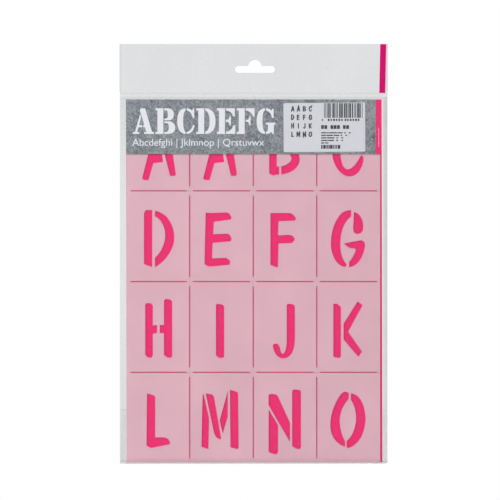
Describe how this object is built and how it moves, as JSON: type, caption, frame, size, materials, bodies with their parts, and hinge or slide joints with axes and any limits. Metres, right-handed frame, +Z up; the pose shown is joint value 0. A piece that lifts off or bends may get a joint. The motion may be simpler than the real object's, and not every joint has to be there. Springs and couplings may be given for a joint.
{
  "type": "lettering stencil",
  "caption": "Translucent alphabet stencil sheet of tear-apart letter plates, on a folded printed card in a clear hanging bag with a header and closing flap.",
  "frame": {"origin": "middle of the hang slot, in the middle plane of the header film", "axes": "+Z up when the pack hangs, -Y towards the viewer of the letters, +X to the viewer's right"},
  "size_m": [0.222, 0.0021, 0.347],
  "materials": {
    "stencil_film": "frosted translucent sheet, satin",
    "printed_card": "satin print on coated card",
    "sticker_paper": "matte label paper",
    "bag_film": "clear glossy film",
    "bag_weld": "fused clear film",
    "header_film": "two layers of clear film fused flat",
    "adhesive": "clear tacky strip"
  },
  "bodies": {
    "bag": {"bag_front_film": "bag_film", "bag_back_film": "bag_film", "side_welds": "bag_weld", "header_seal": "bag_weld", "hang_header": "header_film", "bag_bottom_fold": "bag_film"},
    "flap": {"closure_flap": "bag_film", "adhesive_strip": "adhesive"},
    "insert": {"insert_card": "printed_card", "label_sticker": "sticker_paper"},
    "stencil": {"stencil_plate_a": "stencil_film", "stencil_plate_a_ring": "stencil_film", "stencil_plate_b": "stencil_film", "stencil_plate_c": "stencil_film", "stencil_plate_d": "stencil_film", "stencil_plate_e": "stencil_film", "stencil_plate_f": "stencil_film", "stencil_plate_g": "stencil_film", "stencil_plate_h": "stencil_film", "stencil_plate_i": "stencil_film", "stencil_plate_j": "stencil_film", "stencil_plate_k": "stencil_film", "stencil_plate_l": "stencil_film", "stencil_plate_m": "stencil_film", "stencil_plate_n": "stencil_film", "stencil_plate_o": "stencil_film"}
  },
  "joints": [
    {"name": "flap_fold", "type": "hinge", "parent": "bag", "child": "flap", "pos_m": [-0.001, 0.00005, -0.32495], "axis": [-1, 0, 0], "range_deg": [0, 179.9], "deforming": ["bag_bottom_fold"]},
    {"name": "insert_slide", "type": "slide", "parent": "bag", "child": "insert", "axis": [0, 0, -1], "range_m": [0, 0.305]},
    {"name": "stencil_slide", "type": "slide", "parent": "insert", "child": "stencil", "axis": [0, 0, -1], "range_m": [0, 0.3]}
  ]
}
